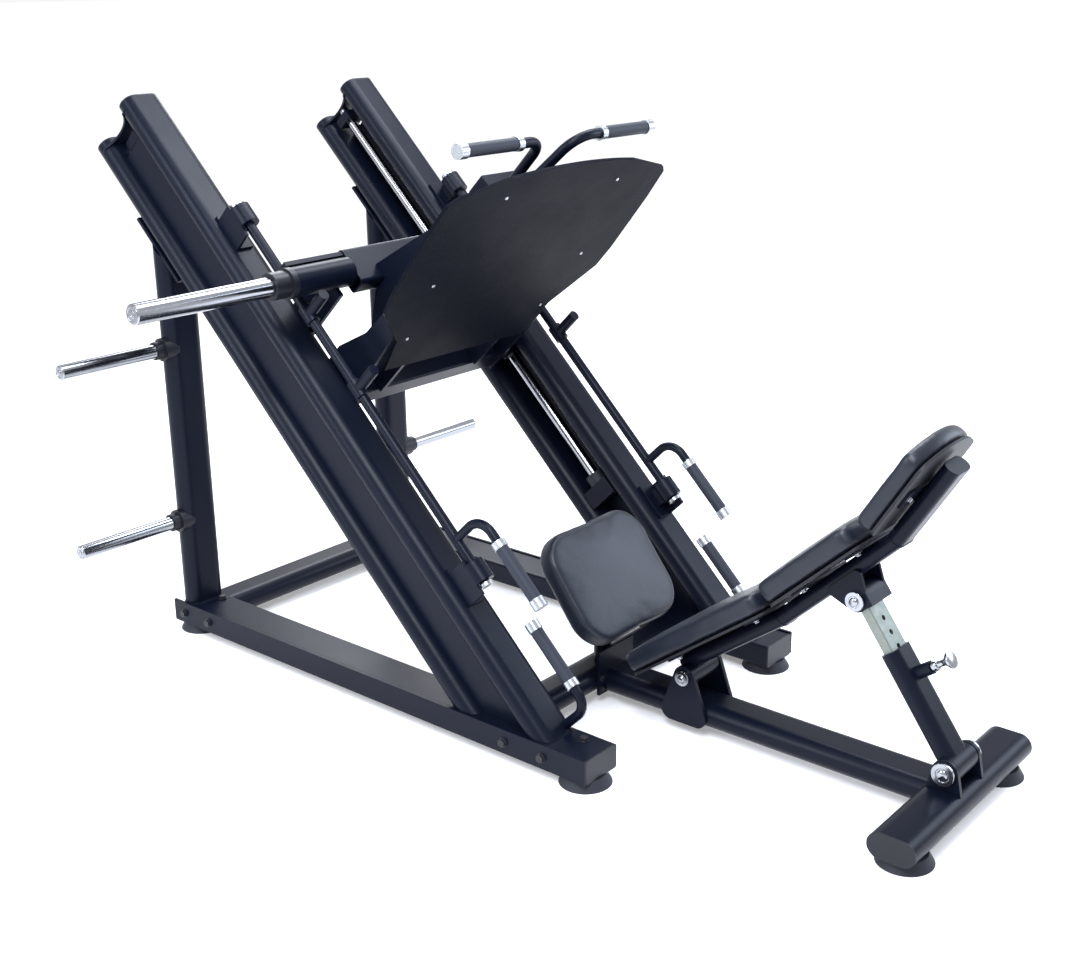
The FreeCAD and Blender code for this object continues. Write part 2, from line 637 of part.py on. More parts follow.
def cushion(length, half, thick, bulge=0.0):
    """Slab with rounded corners; its far end is an arc when it has a bulge."""
    if not bulge:
        slab = box(-half, half, 0, length, 0, thick)
    else:
        square = length - bulge
        sides = [Part.LineSegment(V(-half, square, 0), V(-half, 0, 0)).toShape(),
                 Part.LineSegment(V(-half, 0, 0), V(half, 0, 0)).toShape(),
                 Part.LineSegment(V(half, 0, 0), V(half, square, 0)).toShape(),
                 Part.Arc(V(half, square, 0), V(0, length, 0), V(-half, square, 0)).toShape()]
        slab = Part.Face(Part.Wire(sides)).extrude(V(0, 0, thick))
    corners = [e for e in slab.Edges if abs(e.tangentAt(e.FirstParameter).z) > 0.99]
    return slab.makeFillet(min(PAD_CORNER, half / 3), corners)


def backrest():
    tube = swept_oval(SPINE, BACK_TUBE_W, BACK_TUBE_T)
    cap = swept_oval((SPINE[3], further(SPINE[2], SPINE[3], CAP)), BACK_TUBE_W, BACK_TUBE_T)
    weld = tube.fuse(cap)
    bore = swept_oval((further(SPINE[1], SPINE[0], -34),) + SPINE[1:],
                      BACK_TUBE_W - 2 * WALL, BACK_TUBE_T - 2 * WALL)
    half = PAD_WIDTH / 2
    layout = (("lower", LOWER_PAD, 0.0, (132.0, 385.0)), ("middle", MIDDLE_PAD, 0.0, (82.0, 250.0)),
              ("upper", UPPER_PAD, PAD_BULGE, (110.0,)))
    for name, pad, bulge, straps in layout:
        length = pad_length(pad)
        thick = pad[2]
        keep("backrest_pad_" + name, on_pad(pad, cushion(length, half, thick, bulge)))
        board = moved(cushion(length - 8, half - 4, BOARD_T, bulge), 0, 4, thick)
        keep("backrest_boards", on_pad(pad, board))
        under = thick + BOARD_T
        for at in straps:
            strap = box(-92, 92, at - 22, at + 22, under, under + STRAP_T)
            riser = box(-22, 22, at - 22, at + 22, under + STRAP_T - 1, under + STRAP_T + 28)
            bracket = on_pad(pad, strap.fuse(riser)).cut(swept_oval(SPINE, BACK_TUBE_W, BACK_TUBE_T))
            top = max(bracket.Solids, key=lambda solid: solid.Volume)
            keep("backrest_brackets", top)

    py, pz = BACK_PIVOT
    cy, cz = CLEVIS_PIVOT
    weld = weld.fuse(x_bar(26.0, -52, 52, py, pz))
    ear = lug_plate([(cy, cz, 27), (cy + 4, cz + 57, 12), (cy + 57, cz + 8, 12)], -45, -37)
    d, n = line_frame(STRUT_PIVOT, CLEVIS_PIVOT)
    tilt = math.degrees(math.atan2(d[1], d[0]))
    shell = x_bar(31.0, -45, 45, 0, 0, 26.0).common(box(-50, 50, 0, 40, 0, 40))
    for side in (-1, 1):
        shell = shell.fuse(box(side * 37, side * 45, -25, 12, 4, 31))
    shell = shell.fuse(box(-45, 45, -25, 0, 26, 31)).fuse(box(-45, 45, 27, 48, -3, 3))
    shell = moved(turned(shell, V(1, 0, 0), tilt), 0, cy, cz)
    weld = weld.fuse(ear).fuse(mirrored(ear)).fuse(shell).cut(bore)
    weld = weld.cut(x_bar(PIN_R + RUN_GAP, -60, 60, py, pz))
    weld = weld.cut(x_bar(10.0, -60, 60, cy, cz))
    keep("backrest_frame", weld.removeSplitter())
    pin = x_bar(10.0, -45, 45, cy, cz)
    pin = pin.fuse(x_bar(22.0, -53, -45, cy, cz)).fuse(x_bar(22.0, 45, 53, cy, cz))
    keep("backrest_upper_pin", pin.removeSplitter())

    beam = moved(oval_bar(TUBE_W, TUBE_T, 400), 0, -700, BEAM_Z)
    for side in (-1, 1):
        lug = lug_plate([(py, pz, 28), (py - 38, 52, 26), (py + 36, 52, 26)], side * 53, side * 63)
        lug = lug.cut(x_bar(PIN_R, -80, 80, py, pz)).cut(beam)
        keep("pivot_lugs", lug)
    pin = x_bar(PIN_R, -63, 63, py, pz)
    pin = pin.fuse(x_bar(19.0, -72, -63, py, pz)).fuse(x_bar(19.0, 63, 72, py, pz))
    keep("pivot_pins", pin.removeSplitter())


def swept_oval(points, width, thick):
    """Solid flat-oval bar along a (y, z) polyline, mitred at its corners."""
    path = Part.makePolygon([V(0, y, z) for y, z in points])
    d = line_frame(points[0], points[1])[0]
    ring = oval_wire(width, thick)
    angle = math.degrees(math.atan2(d[1], d[0]))
    ring.rotate(V(0, 0, 0), V(1, 0, 0), angle)
    ring.translate(V(0, points[0][0], points[0][1]))
    return path.makePipeShell([ring], True, False, 1)


def strut():
    a = STRUT_PIVOT
    length = math.hypot(CLEVIS_PIVOT[0] - a[0], CLEVIS_PIVOT[1] - a[1])
    d = line_frame(a, CLEVIS_PIVOT)[0]
    tilt = math.degrees(math.atan2(d[1], d[0]))

    def on_strut(shape):
        """From a frame with Y along the strut and Z square to it, towards the front."""
        return moved(turned(shape, V(1, 0, 0), tilt), 0, a[0], a[1])

    outer = oval_bar(84.0, 46.0, STRUT_TUBE_LEN)
    boss = cylinder(15.0, V(0, POP_PIN_AT, 18), V(0, POP_PIN_AT, 62))
    outer = outer.fuse(x_bar(29.0, -46, 46, 0, 0)).fuse(boss)
    outer = outer.cut(box(-50, 50, -60, 0, -60, 60).cut(x_bar(29.0, -60, 60, 0, 0)))
    slot = round_rect_bar(BAR_W + 2 * RUN_GAP, BAR_T + 2 * RUN_GAP, 400, 3.0)
    outer = outer.cut(moved(slot, 0, 34, 0))
    outer = outer.cut(x_bar(PIN_R + RUN_GAP, -60, 60, 0, 0))
    outer = outer.cut(cylinder(8.0 + RUN_GAP, V(0, POP_PIN_AT, 0), V(0, POP_PIN_AT, 70)))
    keep("strut_outer_tube", on_strut(outer.removeSplitter()))

    bar = moved(round_rect_bar(BAR_W, BAR_T, BAR_LEN, 3.0), 0, length - BAR_LEN, 0)
    bar = bar.cut(box(-50, 50, length, length + 60, -30, 30))
    bar = bar.fuse(x_bar(EYE_R, -BAR_W / 2, BAR_W / 2, length, 0))
    bar = bar.cut(x_bar(10.0 + OPEN_PIVOT_GAP, -60, 60, length, 0))
    for i in range(-2, 5):
        spot = POP_PIN_AT + BAR_PITCH * i
        bar = bar.cut(cylinder(6.0, V(0, spot, -20), V(0, spot, 20)))
    keep("strut_inner_bar", on_strut(bar.removeSplitter()))

    tip = BAR_T / 2 + 1.0
    pin = cylinder(8.0, V(0, POP_PIN_AT, tip), V(0, POP_PIN_AT, 100))
    ring = cylinder(12.0, V(0, POP_PIN_AT, 66), V(0, POP_PIN_AT, 74))
    knob = cylinder(20.0, V(0, POP_PIN_AT, 98), V(0, POP_PIN_AT, 116))
    keep("pop_pin", on_strut(pin.fuse(ring).fuse(knob).removeSplitter()))

    y, z = a
    foot = cross_bar(FRONT_FOOT_Y, FRONT_FOOT_HALF)
    for side in (-1, 1):
        lug = lug_plate([(y, z, 30), (y + 30, 70, 12), (y - 30, 70, 12)], side * 48, side * 58)
        lug = lug.cut(x_bar(PIN_R, -80, 80, y, z)).cut(foot)
        keep("pivot_lugs", lug)
    pin = x_bar(PIN_R, -58, 58, y, z)
    pin = pin.fuse(x_bar(26.0, -68, -58, y, z)).fuse(x_bar(26.0, 58, 68, y, z))
    keep("pivot_pins", pin.removeSplitter())


# ---------------------------------------------------------------- build and write
def main():
    base()
    uprights()
    front_base()
    rails()
    catch_bearings()
    catches()
    fixed_grips()
    sled_beam()
    carriage()
    foot_plate()
    seat()
    backrest()
    strut()
    os.makedirs("parts", exist_ok=True)
    for name, solids in NODES.items():
        shape = solids[0] if len(solids) == 1 else Part.makeCompound(solids)
        shape.exportStep("parts/%s.step" % name)
    print(len(NODES), "nodes")


main()
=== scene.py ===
import json
import math

import bmesh
import bpy
from mathutils import Matrix, Vector


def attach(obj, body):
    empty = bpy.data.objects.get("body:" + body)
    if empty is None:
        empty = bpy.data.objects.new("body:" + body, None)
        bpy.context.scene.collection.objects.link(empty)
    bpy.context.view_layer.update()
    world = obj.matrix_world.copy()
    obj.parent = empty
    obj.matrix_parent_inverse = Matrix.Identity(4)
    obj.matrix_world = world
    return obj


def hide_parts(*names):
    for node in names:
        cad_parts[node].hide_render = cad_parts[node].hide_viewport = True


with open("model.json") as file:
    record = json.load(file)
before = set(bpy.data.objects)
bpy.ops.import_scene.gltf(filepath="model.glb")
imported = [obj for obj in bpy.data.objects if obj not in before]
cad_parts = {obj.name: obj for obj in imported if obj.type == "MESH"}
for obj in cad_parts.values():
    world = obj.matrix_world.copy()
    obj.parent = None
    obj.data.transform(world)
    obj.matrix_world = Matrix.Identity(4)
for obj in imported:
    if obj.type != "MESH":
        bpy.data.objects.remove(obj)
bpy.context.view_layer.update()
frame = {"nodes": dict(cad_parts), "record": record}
NODES = frame["nodes"]
RECORD = frame["record"]
SIDES = (-1, 1)            # left and right of the machine

# ---------------------------------------------------------------- materials
COATED_EDGE = 0.0016       # how far the shading rounds an edge, in metres
METAL_EDGE = 0.0012
KNURLED_EDGE = 0.0010
SCRATCHES = (60.0, 5.0, 0.7)    # scale, detail and roughness of the scratch pattern


def shader(name, color, roughness, metallic=0.0, sheen=0.0, specular=0.5):
    """A new material, its node tree and its principled shader."""
    mat = bpy.data.materials.new(name)
    mat.use_nodes = True
    tree = mat.node_tree
    bsdf = tree.nodes["Principled BSDF"]
    bsdf.inputs["Base Color"].default_value = (*color, 1.0)
    bsdf.inputs["Roughness"].default_value = roughness
    bsdf.inputs["Metallic"].default_value = metallic
    bsdf.inputs["Sheen Weight"].default_value = sheen
    bsdf.inputs["Specular IOR Level"].default_value = specular
    return mat, tree, bsdf


def add_bump(tree, bsdf, height, strength, distance):
    """Feeds a height socket to the shader's normal."""
    bump = tree.nodes.new("ShaderNodeBump")
    bump.inputs["Strength"].default_value = strength
    bump.inputs["Distance"].default_value = distance
    tree.links.new(height, bump.inputs["Height"])
    tree.links.new(bump.outputs["Normal"], bsdf.inputs["Normal"])
    return bump


def round_edges(tree, bump_or_bsdf, radius):
    """Softens hard edges in the shading."""
    node = tree.nodes.new("ShaderNodeBevel")
    node.samples = 4
    node.inputs["Radius"].default_value = radius
    tree.links.new(node.outputs["Normal"], bump_or_bsdf.inputs["Normal"])


def in_object_space(tree, node):
    """Lays a pattern out in the object's own coordinates."""
    coords = tree.nodes.new("ShaderNodeTexCoord")
    tree.links.new(coords.outputs["Object"], node.inputs["Vector"])


def noise(tree, scale, detail=3.0, roughness=0.5):
    """A cloudy pattern, 0..1."""
    node = tree.nodes.new("ShaderNodeTexNoise")
    node.inputs["Scale"].default_value = scale
    node.inputs["Detail"].default_value = detail
    node.inputs["Roughness"].default_value = roughness
    in_object_space(tree, node)
    return node.outputs["Fac"]


def cells(tree, scale, randomness=1.0):
    """A pattern of cells: the distance to the nearest centre."""
    node = tree.nodes.new("ShaderNodeTexVoronoi")
    node.inputs["Scale"].default_value = scale
    node.inputs["Randomness"].default_value = randomness
    in_object_space(tree, node)
    return node.outputs["Distance"]


def spread(tree, factor, low, high):
    """Maps 0..1 to low..high."""
    node = tree.nodes.new("ShaderNodeMapRange")
    node.inputs["To Min"].default_value = low
    node.inputs["To Max"].default_value = high
    tree.links.new(factor, node.inputs["Value"])
    return node.outputs["Result"]


def vary_roughness(tree, bsdf, pattern, low, high):
    """Lets a pattern move the shader's roughness between two values."""
    tree.links.new(spread(tree, pattern, low, high), bsdf.inputs["Roughness"])


def powder_coat(name, color, roughness, grain):
    """Satin paint with a fine orange peel."""
    mat, tree, bsdf = shader(name, color, roughness, specular=0.12)
    bump = add_bump(tree, bsdf, noise(tree, 900.0, 2.0), grain, 0.0004)
    round_edges(tree, bump, COATED_EDGE)
    vary_roughness(tree, bsdf, noise(tree, 7.0), roughness - 0.05, roughness + 0.07)
    return mat


def polished(name, color, roughness):
    """Bright metal with fine scratches."""
    mat, tree, bsdf = shader(name, color, roughness, metallic=1.0)
    vary_roughness(tree, bsdf, noise(tree, *SCRATCHES), roughness * 0.6, roughness * 1.7)
    round_edges(tree, bsdf, METAL_EDGE)
    return mat


def knurled(name, color, roughness):
    """Bright metal with a fine diamond grip pattern."""
    mat, tree, bsdf = shader(name, color, roughness, metallic=1.0)
    bump = add_bump(tree, bsdf, cells(tree, 380.0, 0.2), 0.35, 0.0006)
    round_edges(tree, bump, KNURLED_EDGE)
    vary_roughness(tree, bsdf, noise(tree, *SCRATCHES), roughness * 0.7, roughness * 1.5)
    return mat


def plain(name, color, roughness, grain=0.15):
    """Rubber, plastic, board or dull metal with a fine grain."""
    mat, tree, bsdf = shader(name, color, roughness, specular=0.3)
    bump = add_bump(tree, bsdf, noise(tree, 500.0), grain, 0.0005)
    round_edges(tree, bump, METAL_EDGE)
    return mat


def leather(name, color, roughness):
    """Pebbled artificial leather with soft creases and an uneven shine."""
    mat, tree, bsdf = shader(name, color, roughness, sheen=0.02, specular=0.34)
    total = tree.nodes.new("ShaderNodeMath")
    total.operation = "MULTIPLY_ADD"
    total.inputs[1].default_value = 3.0    # how much the creases count against the pebbles
    tree.links.new(noise(tree, 16.0, 4.0, 0.6), total.inputs[0])
    tree.links.new(cells(tree, 420.0), total.inputs[2])
    add_bump(tree, bsdf, total.outputs["Value"], 0.22, 0.0009)
    vary_roughness(tree, bsdf, noise(tree, 5.0), roughness - 0.07, roughness + 0.08)
    return mat


def tread(name, color, roughness):
    """Fine raised anti-slip dots under a textured coat."""
    mat, tree, bsdf = shader(name, color, roughness, specular=0.04)
    dots = spread(tree, cells(tree, 210.0, 0.15), 1.0, 0.0)
    bump = add_bump(tree, bsdf, dots, 0.5, 0.0008)
    round_edges(tree, bump, COATED_EDGE)
    vary_roughness(tree, bsdf, noise(tree, 9.0, 4.0), roughness - 0.06, roughness + 0.10)
    return mat


PAINT = powder_coat("satin_black_coat", (0.0028, 0.0044, 0.0110), 0.33, 0.10)
CHROME = polished("polished_chrome", (0.33, 0.34, 0.37), 0.14)
STEEL = polished("brushed_steel", (0.21, 0.23, 0.21), 0.42)
ALUMINIUM = knurled("bright_aluminium", (0.42, 0.44, 0.47), 0.26)
BOLT = plain("black_oxide", (0.012, 0.012, 0.016), 0.38)
GRIP = plain("grip_rubber", (0.013, 0.016, 0.027), 0.55, 0.25)
RUBBER = plain("foot_rubber", (0.014, 0.016, 0.024), 0.60, 0.3)
PLASTIC = plain("cap_plastic", (0.005, 0.006, 0.010), 0.42)
BOARD = plain("painted_board", (0.008, 0.009, 0.013), 0.5)
LEATHER = leather("black_leather", (0.0050, 0.0075, 0.0150), 0.38)
TREAD = tread("foot_plate_coat", (0.0020, 0.0030, 0.0065), 0.50)

SLOT_MATERIAL = {
    "frame_paint": PAINT, "plate_paint": TREAD, "chrome": CHROME, "steel": STEEL,
    "bolt_steel": BOLT, "aluminium": ALUMINIUM, "grip_rubber": GRIP, "foot_rubber": RUBBER,
    "pad": LEATHER, "board": BOARD, "cap_plastic": PLASTIC,
}
SLOT_OF = {s["node"]: s["material_slot"] for s in RECORD["subparts"]}
for node_name, node in NODES.items():
    node.data.materials.clear()
    node.data.materials.append(SLOT_MATERIAL[SLOT_OF[node_name]])
NODES["foot_plate_screws"].data.materials[0] = ALUMINIUM

# ---------------------------------------------------------------- mesh helpers
SHARP_ABOVE = 0.6          # an edge that turns more than this, in radians, is shaded sharp
ALL_SMOOTH = 3.0           # so large that no edge of a weld bead is sharp
BEAD_SIDES = 8
BEAD_RIPPLE = 0.16         # how much a weld bead's thickness varies
LEAST_RADIUS = 1e-4        # keeps a turned shape's centre open, so that its rings stay rings


def declare(name, mesh, material, body):
    """A new smooth-shaded piece that rides on a body and takes a slot's finish."""
    obj = bpy.data.objects.new(name, mesh)
    bpy.context.scene.collection.objects.link(obj)
    mesh.materials.clear()
    mesh.materials.append(material)
    for face in mesh.polygons:
        face.use_smooth = True
    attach(obj, body)
    return obj


def circle(bm, centre, first, second, radius, sides):
    """Vertices of a ring round a centre, in the plane of two unit vectors."""
    ring = []
    for i in range(sides):
        a = 2 * math.pi * i / sides
        ring.append(bm.verts.new(centre + (first * math.cos(a) + second * math.sin(a)) * radius))
    return ring


def lathe(bm, profile, base, axis, sides=40):
    """Adds a turned shape: profile is (radius, height) in metres along the axis from base."""
    axis = Vector(axis).normalized()
    first = axis.orthogonal().normalized()
    second = axis.cross(first)
    rings = [circle(bm, Vector(base) + axis * height, first, second, max(radius, LEAST_RADIUS), sides)
             for radius, height in profile]
    for low, high in zip(rings, rings[1:]):
        for i in range(sides):
            j = (i + 1) % sides
            bm.faces.new((low[i], low[j], high[j], high[i]))
    bm.faces.new(list(reversed(rings[0])))
    bm.faces.new(rings[-1])


def finish_mesh(name, bm, split=SHARP_ABOVE):
    """Mesh of a bmesh, with its sharp edges kept sharp."""
    bmesh.ops.recalc_face_normals(bm, faces=bm.faces)
    mesh = bpy.data.meshes.new(name)
    bm.to_mesh(mesh)
    bm.free()
    mesh.set_sharp_from_angle(angle=split)
    return mesh


def bead(bm, loop, radius):
    """Adds a weld bead: a rippled cord along a closed loop of points."""
    points = [Vector(p) for p in loop]
    count = len(points)
    rings = []
    for i, p in enumerate(points):
        along = (points[(i + 1) % count] - points[i - 1]).normalized()
        a = along.orthogonal().normalized()
        b = along.cross(a)
        rippled = radius * (1.0 + BEAD_RIPPLE * math.sin(i * 2.1))
        rings.append(circle(bm, p, a, b, rippled, BEAD_SIDES))
    for i in range(count):
        low, high = rings[i], rings[(i + 1) % count]
        shift = min(range(BEAD_SIDES), key=lambda k: (high[k].co - low[0].co).length)
        for k in range(BEAD_SIDES):
            n = (k + 1) % BEAD_SIDES
            bm.faces.new((low[k], low[n], high[(n + shift) % BEAD_SIDES], high[(k + shift) % BEAD_SIDES]))


def oval_loop(width, thick, count=96):
    """Points round a flat oval, from the start of one of its long sides."""
    straight = width - thick
    r = thick / 2
    total = 2 * straight + 2 * math.pi * r
    points = []
    for i in range(count):
        s = total * i / count
        if s < straight:
            points.append((s - straight / 2, r))
        elif s < straight + math.pi * r:
            a = (s - straight) / r
            points.append((straight / 2 + r * math.sin(a), r * math.cos(a)))
        elif s < 2 * straight + math.pi * r:
            points.append((straight / 2 - (s - straight - math.pi * r), -r))
        else:
            a = (s - 2 * straight - math.pi * r) / r
            points.append((-straight / 2 - r * math.sin(a), -r * math.cos(a)))
    return points


# ---------------------------------------------------------------- cushions
# each cushion: the CAD pad it stands for, its name, its body, the foot and the direction of the centre line
# of its top surface (y, z), and its thickness
PADS = (("seat_pad", "seat_cushion", "frame", (-0.297, 0.216), (0.6018, 0.7986), 0.060),
        ("backrest_pad_lower", "lower_cushion", "backrest", (-0.304, 0.1783), (-0.8059, 0.5921), 0.053),
        ("backrest_pad_middle", "middle_cushion", "backrest", (-0.6629, 0.4526), (-0.7338, 0.6794), 0.055),
        ("backrest_pad_upper", "upper_cushion", "backrest", (-0.8937, 0.6555), (-0.5252, 0.8510), 0.046))
DRAW_IN = 0.0025           # the cover starts this far inside the slab
SWELL = 0.0075             # how far the middle of a cover may bulge from there
REST_GAP = 0.0004          # between a cushion's flat back and its board
EDGE_RADIUS = 0.013        # of the slab's rounded edges
VOXEL = 0.0055
SIM_FRAMES = 20
PRESSURE = 4.0
COVER_STIFFNESS = 40.0


def smooth_out(obj, times):
    """Adds a smoothing modifier."""
    relax = obj.modifiers.new("relax", "SMOOTH")
    relax.factor = 0.5
    relax.iterations = times


def apply_all(obj):
    """Makes an object's modifiers real."""
    graph = bpy.context.evaluated_depsgraph_get()
    mesh = bpy.data.meshes.new_from_object(obj.evaluated_get(graph))
    obj.modifiers.clear()
    obj.data = mesh


def start_shape(node, name):
    """The node's slab drawn in a little, with rounded edges and an even grid of faces."""
    source = NODES[node]
    mesh = source.data.copy()
    mesh.transform(source.matrix_world)
    bm = bmesh.new()
    bm.from_mesh(mesh)
    bmesh.ops.remove_doubles(bm, verts=bm.verts, dist=1e-5)
    bmesh.ops.dissolve_limit(bm, angle_limit=0.02, verts=bm.verts, edges=bm.edges)
    bmesh.ops.recalc_face_normals(bm, faces=bm.faces)
    bm.to_mesh(mesh)
    bm.free()
    obj = bpy.data.objects.new(name, mesh)
    bpy.context.scene.collection.objects.link(obj)
    edge = obj.modifiers.new("edge", "BEVEL")
    edge.width = EDGE_RADIUS
    edge.segments = 4
    edge.limit_method = "ANGLE"
    edge.angle_limit = math.radians(50)
    grid = obj.modifiers.new("grid", "REMESH")
    grid.mode = "VOXEL"
    grid.voxel_size = VOXEL
    smooth_out(obj, 6)
    draw_in = obj.modifiers.new("draw_in", "DISPLACE")
    draw_in.mid_level = 0.0
    draw_in.strength = -DRAW_IN
    apply_all(obj)
    return obj


def inflate(objects):
    """Lets the covers fill out under pressure, and scales their bulge to SWELL at most."""
    rest = [[v.co.copy() for v in obj.data.vertices] for obj in objects]
    for obj in objects:
        cloth = obj.modifiers.new("cloth", "CLOTH")
        cloth.settings.use_pressure = True
        cloth.settings.uniform_pressure_force = PRESSURE
        cloth.settings.effector_weights.gravity = 0.0
        cloth.settings.quality = 5
        cloth.settings.tension_stiffness = COVER_STIFFNESS
        cloth.settings.compression_stiffness = COVER_STIFFNESS
        cloth.settings.bending_stiffness = 4.0
        cloth.collision_settings.use_self_collision = False
    scene = bpy.context.scene
    for number in range(1, SIM_FRAMES + 1):
        scene.frame_set(number)
    for obj, start in zip(objects, rest):
        apply_all(obj)
        moves = [vertex.co - origin for vertex, origin in zip(obj.data.vertices, start)]
        longest = max(move.length for move in moves)
        share = min(1.0, SWELL / longest)
        for vertex, origin, move in zip(obj.data.vertices, start, moves):
            vertex.co = origin + move * share
        smooth_out(obj, 12)
        apply_all(obj)
    scene.frame_set(1)


def flatten_back(obj, foot, along, thick):
    """Keeps a cushion's back flat on its board."""
    side = 1.0 if along[0] < 0 else -1.0
    down = Vector((0.0, -along[1], along[0])) * side
    base = Vector((0.0, foot[0], foot[1]))
    limit = thick - REST_GAP
    for vertex in obj.data.vertices:
        depth = (vertex.co - base).dot(down)
        if depth > limit - DRAW_IN * 0.5:
            vertex.co += down * (limit - depth)


def cushions():
    made = [start_shape(pad[0], pad[1]) for pad in PADS]
    inflate(made)
    for obj, (node, _, body, foot, along, thick) in zip(made, PADS):
        finer = obj.modifiers.new("finer", "SUBSURF")
        finer.levels = 1
        finer.render_levels = 1
        apply_all(obj)
        flatten_back(obj, foot, along, thick)
        obj.data.materials.clear()
        obj.data.materials.append(LEATHER)
        for face in obj.data.polygons:
            face.use_smooth = True
        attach(obj, body)
        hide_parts(node)


cushions()

# ---------------------------------------------------------------- hardware
# places are (y, z) in metres, as in the CAD
HINGE = (-0.455, 0.148)
STRUT_FOOT = (-1.119, 0.126)
CLEVIS = (-0.882, 0.454)
SPINE = ((-0.432, 0.166), (-0.690, 0.354), (-0.954, 0.605), (-1.064, 0.783))
SPINE_TUBE = (0.080, 0.040)         # width and thickness of the flat ovals
UPRIGHT_TUBE = (0.110, 0.060)
STRAPS = ((0.132, 0.385), (0.082, 0.250), (0.110,))    # where the straps cross under each back pad
STRAP_BOLT_X = 0.072
BACKING = 0.012                     # board and strap together
UPRIGHT_X = 0.380
UPRIGHT_Y = 0.960
BASE_TOP = 0.0845
STORAGE_HORN_Z = (0.331, 0.810)
STORAGE_HORN_TIP = 0.750
WEIGHT_HORN_TIP = 0.885
SLOPE = math.sqrt(0.5)              # sine and cosine of the rails' 45 degrees
SLED_HORN_UP = 1.350                # along the rails and square to them
SLED_HORN_OFF = 0.134
SLOPE_START_Y = -0.428              # where the slope's own axes start on the floor
KNOB_UP = 0.208                     # from the strut's foot pin to the lock pin

# turned outlines: (radius, height) in metres, or (share of the radius, height) where a radius is given
CAP_OUTLINE = ((1.0, -0.0005), (0.98, 0.0012), (0.62, 0.0018), (0.60, 0.0008), (0.46, 0.0008), (0.45, 0.0040),
               (0.34, 0.0062))
CAP_CENTRE = (0.0005, 0.0072)
HORN_OUTLINE = ((1.0, -0.0005), (1.0, 0.0008), (0.78, 0.0010), (0.74, 0.0001), (0.46, 0.0001), (0.44, 0.0016),
                (0.20, 0.0020), (0.17, 0.0006))
HORN_CENTRE = (0.0003, 0.0006)
WASHER_OUTLINE = ((0.0085, -0.0003), (0.0085, 0.0014))
BOLT_OUTLINE = ((0.0062, 0.0010), (0.0062, 0.0056), (0.0050, 0.0066))
KNOB_OUTLINE = ((0.0079, 0.0132), (0.0079, 0.063), (0.0115, 0.0635), (0.0122, 0.066), (0.0122, 0.074),
                (0.0110, 0.0775), (0.0080, 0.0785), (0.0075, 0.088), (0.0095, 0.096), (0.0150, 0.103),
                (0.0192, 0.108), (0.0200, 0.111), (0.0192, 0.1140), (0.0120, 0.1156), (0.0005, 0.1160))


def end_discs(name, outline, centre, radius, places, tip, body):
    """The same chrome disc on both ends of every pin or horn at the places."""
    profile = [(radius * share, height) for share, height in outline] + [centre]
    bm = bmesh.new()
    for side in SIDES:
        for y, z in places:
            lathe(bm, profile, (side * tip, y, z), (side, 0, 0))
    declare(name, finish_mesh(name, bm), CHROME, body)


def pivot_caps():
    """Turned chrome covers on the ends of the three pivot pins."""
    end_discs("hinge_caps", CAP_OUTLINE, CAP_CENTRE, 0.019, (HINGE,), 0.072, "frame")
    end_discs("strut_foot_caps", CAP_OUTLINE, CAP_CENTRE, 0.026, (STRUT_FOOT,), 0.068, "frame")
    end_discs("clevis_caps", CAP_OUTLINE, CAP_CENTRE, 0.022, (CLEVIS,), 0.053, "backrest")


def horn_ends():
    """Raised rims and centre screws on the ends of the horns."""
    sled_place = ((SLED_HORN_UP - SLED_HORN_OFF) * SLOPE + SLOPE_START_Y,
                  (SLED_HORN_UP + SLED_HORN_OFF) * SLOPE)
    storage_places = [(UPRIGHT_Y, z) for z in STORAGE_HORN_Z]
    end_discs("weight_horn_ends", HORN_OUTLINE, HORN_CENTRE, 0.0205, (sled_place,), WEIGHT_HORN_TIP, "sled")
    end_discs("storage_horn_ends", HORN_OUTLINE, HORN_CENTRE, 0.0160, storage_places, STORAGE_HORN_TIP,
              "frame")


def strap_bolts():
    """Bright bolts through the backrest's straps into the pad boards."""
    bm = bmesh.new()
    for (_, _, _, foot, along, thick), spots in zip(PADS[1:], STRAPS):
        depth = thick + BACKING
        down = Vector((0.0, -along[1], along[0]))
        for at in spots:
            for side in SIDES:
                on_top = Vector((side * STRAP_BOLT_X, foot[0] + along[0] * at, foot[1] + along[1] * at))
                base = on_top + down * depth
                lathe(bm, WASHER_OUTLINE, base, down, 24)
                lathe(bm, BOLT_OUTLINE, base, down, 6)
    declare("strap_bolts", finish_mesh("strap_bolts", bm), CHROME, "backrest")


def spine_beads():
    """Weld beads round the two bends of the backrest's tube."""
    bm = bmesh.new()
    for a, b, c in zip(SPINE, SPINE[1:], SPINE[2:]):
        first = Vector((0, b[0] - a[0], b[1] - a[1])).normalized()
        second = Vector((0, c[0] - b[0], c[1] - b[1])).normalized()
        mitre = (second - first).normalized()
        half = first.angle(second) / 2
        loop = [Vector((x, b[0], b[1])) + mitre * (t / math.cos(half)) for x, t in oval_loop(*SPINE_TUBE)]
        bead(bm, loop, 0.0016)
    mesh = finish_mesh("spine_weld_beads", bm, ALL_SMOOTH)
    declare("spine_weld_beads", mesh, PAINT, "backrest")


def upright_beads():
    """Weld beads where the uprights stand on the base beams."""
    bm = bmesh.new()
    for side in SIDES:
        loop = [(side * UPRIGHT_X + x, UPRIGHT_Y + t, BASE_TOP) for x, t in oval_loop(*UPRIGHT_TUBE)]
        bead(bm, loop, 0.0022)
    mesh = finish_mesh("upright_weld_beads", bm, ALL_SMOOTH)
    declare("upright_weld_beads", mesh, PAINT, "frame")


